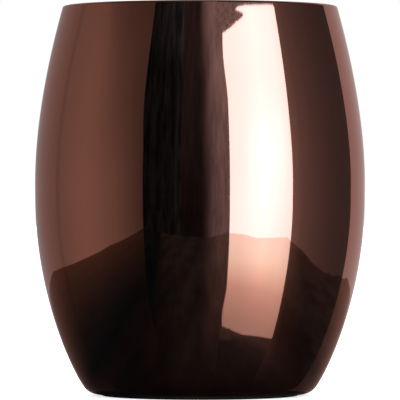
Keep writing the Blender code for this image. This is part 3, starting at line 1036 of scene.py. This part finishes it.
PANELS = (
    GlowPanel("left_back_wall", WARMER, (
        Course(0, ((-180, 0.3), (-160, 0.29), (-134, 0.265), (-119, 0.24), (-115.5, 0.205))),)),
    GlowPanel("left_wall", WARM, (
        Course(5, ((-115.5, 0.205), (-112, 0.25), (-97, 0.315), (-86, 0.335), (-77, 0.315), (-62, 0.237),
                   (-48, 0.138), (-41, 0.092))),
        Course(25, ((-115.5, 0.205), (-112, 0.25), (-90, 0.29), (-80, 0.28), (-63, 0.173), (-48, 0.113),
                    (-41, 0.1))),
        Course(31, ((-115.5, 0.205), (-105, 0.25), (-88, 0.25), (-76, 0.16), (-61, 0.13), (-41, 0.105))),
        Course(42, ((-115.5, 0.1), (-41, 0.06)))),
        right_sway=DRAPE_EDGE),
    GlowPanel("dark_drape", SHADOW_BLUE, (
        Course(12, ((-41, 0.013), (-22, 0.014), (-13, 0.025))),
        Course(28, ((-41, 0.012), (-22, 0.02), (-13, 0.038))),
        Course(34, ((-41, 0.014), (-22, 0.045), (-13, 0.06)))),
        left_sway=DRAPE_EDGE, clutter=0.55),
    GlowPanel("dark_room", COOL, (
        Course(-2, ((-13, 0.012), (1, 0.012), (3, 0.025), (5, 0.07), (7, 0.14), (14, 0.23), (22, 0.23))),
        Course(14, ((-13, 0.025), (1, 0.022), (3, 0.05), (5, 0.1), (9, 0.2), (15, 0.33), (22, 0.29))),
        Course(28, ((-13, 0.03), (0, 0.035), (3, 0.075), (5, 0.13), (8, 0.24), (12, 0.36), (22, 0.36))),
        Course(34, ((-13, 0.038), (-1, 0.034), (1, 0.06), (3, 0.15), (6, 0.27), (12, 0.35), (22, 0.34)))),
        clutter=0.2),
    GlowPanel("softbox", SOFTBOX_WHITE, (
        Course(-10, ((20, 6.0), (28, 6.4), (44, 7.2), (58, 6.0), (65.4, 5.4))),
        Course(12, ((20, 6.0), (28, 6.4), (44, 8.4), (58, 7.2), (65.4, 5.8))),
        Course(26, ((20, 6.0), (28, 6.2), (44, 6.9), (58, 6.6), (65.4, 5.8)))),
        top=((19, 34.6), (28, 35.6), (33.4, 35.9), (39.8, 35.6), (49, 34.8), (58.5, 33.8), (64.5, 33.05),
             (65.4, 32.7)),
        left_sway=SOFTBOX_LEFT_EDGE, right_sway=SOFTBOX_RIGHT_EDGE, distance=740 * MM),
    GlowPanel("over_softbox", COOL, (
        Course(36.2, ((17, 0.29), (65.4, 0.26))),
        Course(38.5, ((17, 0.11), (65.4, 0.1))),
        Course(44, ((17, 0.06), (65.4, 0.05)))),
        bottom=31.0, distance=760 * MM),
    GlowPanel("right_wall", BLUISH, (
        Course(12, ((62, 0.33), (65.6, 0.33), (69, 0.29), (73.5, 0.22), (84, 0.158), (96, 0.116),
                    (109, 0.086), (127.8, 0.072))),
        Course(34, ((62, 0.25), (65.6, 0.25), (73.5, 0.17), (87, 0.12), (101, 0.09), (127.8, 0.06))))),
    GlowPanel("right_back_wall", WARMER, (
        Course(0, ((127.8, 0.43), (150, 0.44), (180, 0.46))),)),
)


@dataclass
class Studio:
    """Camera, floor, light panels and the dark glossy table that show in the metal."""

    camera_distance: float = 1090 * MM
    camera_height: float = 51.2 * MM
    camera_lens: float = 374.0
    floor_reach: float = 7.0
    floor_glow: float = 0.72
    table_sink: float = 0.05 * MM
    # Colours of the faint painted glow that the table emits, from one side to the other
    table_painted_glow: tuple[Colour, Colour] = ((0.004, 0.008, 0.012), (0.02, 0.0235, 0.028))
    table_fray: float = 7 * MM
    table_fray_size: float = 28 * MM
    table_cuts: int = 12
    table_roughness: float = 0.03
    room_glow: float = 0.09
    flag_distance: float = 620 * MM
    flag_glow: float = 0.36
    lamp_power: float = 7.0
    lamp_size: float = 1.6
    lamp_place: tuple[float, float, float] = (0.3, -0.2, 2.2)
    inside_power: float = 150.0
    inside_radius: float = 28 * MM
    inside_height: float = 2.0
    inside_blend: float = 0.3
    inside_size: float = 4 * MM

    def build(self) -> None:
        """Set up everything round the cup."""
        self.camera()
        self.world()
        self.floor()
        self.table()
        self.lamp()
        self.inside_lamp()
        self.flag()
        for panel in PANELS:
            part = self.stage_part(panel.name, panel.build())
            part.data.materials.append(self.glow_material(panel))
            Seen.BY_METAL.apply(part)
            LOG.info("%s: from %g to %g degrees", panel.name, panel.left, panel.right)

    @staticmethod
    def hang(data: Union[bpy.types.Camera, bpy.types.Light],
             place: tuple[float, float, float]) -> bpy.types.Object:
        """Put a lamp or the camera in its place."""
        thing = bpy.data.objects.new(data.name, data)
        thing.location = place
        bpy.context.scene.collection.objects.link(thing)
        return thing

    def camera(self) -> None:
        """Place the camera straight in front, level with the cup's middle."""
        data = bpy.data.cameras.new("camera")
        data.lens = self.camera_lens
        data.clip_end = 4 * self.floor_reach
        camera = self.hang(data, (0.0, -self.camera_distance, self.camera_height))
        camera.rotation_euler = (math.pi / 2, 0.0, 0.0)
        bpy.context.scene.camera = camera
        bpy.context.scene.view_settings.view_transform = "Standard"

    def world(self) -> None:
        """Make the room white behind the cup and dim in its metal."""
        world = bpy.data.worlds.new("room")
        world.use_nodes = True
        tree = world.node_tree
        path = tree.nodes.new("ShaderNodeLightPath")
        mix = tree.nodes.new("ShaderNodeMix")
        mix.inputs[2].default_value = 1.0
        mix.inputs[3].default_value = self.room_glow
        tree.links.new(path.outputs["Is Glossy Ray"], mix.inputs[0])
        background = tree.nodes["Background"]
        background.inputs["Color"].default_value = (1.0, 1.0, 1.0, 1.0)
        tree.links.new(mix.outputs[0], background.inputs["Strength"])
        bpy.context.scene.world = world

    def stage_part(self, name: str, mesh: bmesh.types.BMesh) -> bpy.types.Object:
        """Put a mesh in the scene as part of the studio."""
        data = bpy.data.meshes.new(name)
        mesh.to_mesh(data)
        mesh.free()
        part = bpy.data.objects.new(name, data)
        bpy.context.scene.collection.objects.link(part)
        return part

    def floor(self) -> None:
        """Make the plain pale floor, which glows a little so that shadows on it stay light."""
        mesh = bmesh.new()
        bmesh.ops.create_grid(mesh, size=self.floor_reach)
        floor = self.stage_part("pale_floor", mesh)
        bench = Bench("pale_paper")
        fibre = bench.grain(bench.place(), 0.6 * MM, 3.0)
        bench.sheen_of(Base_Color=bench.tinted(fibre, (0.9, 0.9, 0.9), (0.94, 0.94, 0.94)), Roughness=0.9,
                       Emission_Color=(1.0, 1.0, 1.0), Emission_Strength=self.floor_glow)
        floor.data.materials.append(bench.material)
        Seen.BY_CAMERA.apply(floor)

    def table(self) -> None:
        """Make the dark glossy table top that the metal reflects; its gloss is painted duller on the left
        and stronger on the right, where the softbox would light it.
        """
        corners = [(-0.195, -0.26), (0.0, -0.243), (0.03, -0.236), (0.07, -0.262), (0.12, -0.245),
                   (0.15, -0.2), (0.235, -0.14), (0.16, 0.0), (0.17, 0.14), (0.12, 0.24), (0.0, 0.28),
                   (-0.12, 0.25), (-0.19, 0.14)]
        mesh = bmesh.new()
        mesh.faces.new([mesh.verts.new((x, y, -self.table_sink)) for x, y in corners])
        bmesh.ops.subdivide_edges(mesh, edges=mesh.edges, cuts=self.table_cuts)
        for corner in mesh.verts:
            fray = noise.noise_vector(corner.co / self.table_fray_size)
            corner.co += self.table_fray * Vector((fray.x, fray.y, 0.0))
        bmesh.ops.recalc_face_normals(mesh, faces=mesh.faces)
        table = self.stage_part("glossy_table", mesh)
        table.data.materials.append(self.table_gloss())
        Seen.BY_METAL.apply(table)

    def table_gloss(self) -> bpy.types.Material:
        """Make the table's gloss, painted strongest where the softbox would light it, with a faint painted
        glow added as emission.
        """
        bench = Bench("black_gloss")
        facing = bench.node("ShaderNodeLayerWeight", {}).outputs["Facing"]
        lit, unlit = (self.shine(bench, facing, stops) for stops in (LIT_TABLE_SHINE, UNLIT_TABLE_SHINE))
        # Painted light: these masks mark where the softbox would light the table, and the lit shine is
        # blended in there
        past_left, past_right = bench.along((1.0, 0.378, 0.0)), bench.along((0.42, 0.9, 0.0))
        sector = bench.along((0.91, -0.42, 0.0))
        narrow = bench.maths("MULTIPLY", bench.ranged(past_left, (-11 * MM, -9 * MM), (0.0, 0.5)),
                             bench.ranged(past_right, (-19 * MM, -15 * MM), REVERSED))
        wide = bench.maths("MULTIPLY", bench.ranged(past_left, (-90 * MM, -28 * MM), (0.0, 0.5)),
                           bench.ranged(past_right, (-12 * MM, 14 * MM), REVERSED))
        wide = bench.maths("MULTIPLY", wide, bench.ranged(sector, (-30 * MM, -4 * MM)))
        colour = bench.tinted(bench.maths("ADD", narrow, wide), unlit, lit)
        gloss = bench.node("ShaderNodeBsdfGlossy", {"Color": colour, "Roughness": self.table_roughness})
        # Painted glow: the table emits a faint light, in blotches, stronger where it is seen at a slant
        painted_glow_blotches = bench.grain(bench.stretched(bench.place(), (1.0, 0.5, 1.0), 0.4), 24 * MM, 4.0, 0.6)
        haze = bench.maths("MULTIPLY", bench.ranged(facing, (0.05, 0.3), (0.35, 1.0)),
                           bench.ranged(painted_glow_blotches, (0.35, 0.65), (0.6, 1.4)))
        haze = bench.maths("MULTIPLY", haze, bench.maths(
            "MAXIMUM", bench.ranged(past_right, (-30 * MM, 5 * MM), (1.0, 0.35)),
            bench.ranged(facing, (0.48, 0.6), (0.35, 1.0))))
        glow = bench.node("ShaderNodeEmission", {"Strength": haze, "Color": bench.tinted(
            bench.ranged(sector, (-8 * MM, 8 * MM)), *self.table_painted_glow)})
        return bench.covered(bench.node("ShaderNodeAddShader", {0: gloss.outputs[0], 1: glow.outputs[0]}))

    @staticmethod
    def shine(bench: Bench, facing: Socket,
              stops: Sequence[tuple[float, Colour]]) -> Socket:
        """Look up how much light the table sends back."""
        ramp = bench.node("ShaderNodeValToRGB", {"Fac": facing})
        for place, colour in stops:
            ramp.color_ramp.elements.new(place).color = (*colour, 1.0)
        ramp.color_ramp.elements.remove(ramp.color_ramp.elements[0])
        return ramp.outputs["Color"]

    def lamp(self) -> None:
        """Hang a broad soft lamp above the cup, for the floor."""
        data = bpy.data.lights.new("overhead", "AREA")
        data.shape = "DISK"
        data.size = self.lamp_size
        data.energy = self.lamp_power
        lamp = self.hang(data, self.lamp_place)
        lamp.visible_camera = False
        lamp.visible_glossy = False

    def inside_lamp(self) -> None:
        """Shine a narrow beam straight down into the mouth, clear of the lip."""
        data = bpy.data.lights.new("inside", "SPOT")
        data.spot_size = 2 * math.atan(self.inside_radius / (self.inside_height - CAD_BOX[1].z))
        data.spot_blend = self.inside_blend
        data.shadow_soft_size = self.inside_size
        data.energy = self.inside_power
        self.hang(data, (0.0, 0.0, self.inside_height)).visible_camera = False

    def flag(self) -> None:
        """Hang a small ragged grey flag in front of the softbox's upper left corner."""
        mesh = bmesh.new()
        level = mesh.verts.layers.float.new("glow")
        cover = mesh.verts.layers.float.new("cover")
        rings = []
        for side in (1, -1):
            ring = []
            for azimuth, elevation, softness in FLAG_OUTLINE:
                reach = 1 + side * softness
                turn = math.radians(FLAG_MIDDLE[0] + reach * (azimuth - FLAG_MIDDLE[0]))
                rise = math.radians(FLAG_MIDDLE[1] + reach * (elevation - FLAG_MIDDLE[1]))
                ahead = Vector((math.sin(turn), -math.cos(turn), math.tan(rise)))
                corner = mesh.verts.new(self.flag_distance * ahead)
                corner[level] = self.flag_glow
                corner[cover] = 0.0 if side > 0 else 1.0
                ring.append(corner)
            rings.append(ring)
        outer, inner = rings
        for i, corner in enumerate(outer):
            mesh.faces.new((outer[i - 1], corner, inner[i], inner[i - 1]))
        mesh.faces.new(inner)
        bmesh.ops.triangulate(mesh, faces=mesh.faces)
        part = self.stage_part("grey_flag", mesh)
        part.data.materials.append(self.flag_material())
        Seen.BY_METAL.apply(part)

    def flag_material(self) -> bpy.types.Material:
        """Make the flag's mottled glow, let through at its ragged edges."""
        bench = Bench("mottled_flag")
        mottle = bench.grain(bench.stretched(bench.place(), (1.0, 1.0, 2.0)), 22 * MM, 4.0, 0.65)
        fray = bench.grain(bench.stretched(bench.place(), (1.0, 1.0, 5.0)), 9 * MM, 3.0, 0.6)
        torn = bench.maths("ADD", bench.stored("cover"), bench.ranged(fray, (0.35, 0.65), (-0.45, 0.45)))
        light = bench.node("ShaderNodeEmission", {"Color": COOL, "Strength": bench.maths(
            "MULTIPLY", bench.stored("glow"), bench.ranged(mottle, (0.36, 0.64), (0.62, 1.12)))})
        clear = bench.node("ShaderNodeBsdfTransparent", {})
        return bench.covered(bench.node("ShaderNodeMixShader", {
            0: bench.ranged(torn, (0.3, 0.52)), 1: clear.outputs[0], 2: light.outputs[0]}))

    def glow_material(self, panel: GlowPanel) -> bpy.types.Material:
        """Make a panel's light from the glow stored on it, streaked by what stands in a dark room."""
        bench = Bench(panel.name)
        level = bench.stored("glow")
        if panel.clutter:
            shapes = bench.grain(bench.stretched(bench.place(), (1.0, 1.0, 0.35)), 45 * MM, 4.0, 0.6)
            level = bench.maths("MULTIPLY", level, bench.ranged(
                shapes, (0.38, 0.62), (1 - panel.clutter, 1 + panel.clutter)))
        return bench.covered(bench.node("ShaderNodeEmission", {"Color": panel.tint, "Strength": level}))


def main() -> None:
    """Build the cup's sub-assemblies and the studio."""
    logging.basicConfig(level=logging.INFO, format="%(name)s %(message)s")
    form = BarrelForm.of_frame()
    CupWalls(form).build()
    VacuumSpace(form).build()
    SealedBase().build()
    Foot().build()
    Studio().build()
    bpy.context.view_layer.update()


if __name__ == "__main__":
    main()
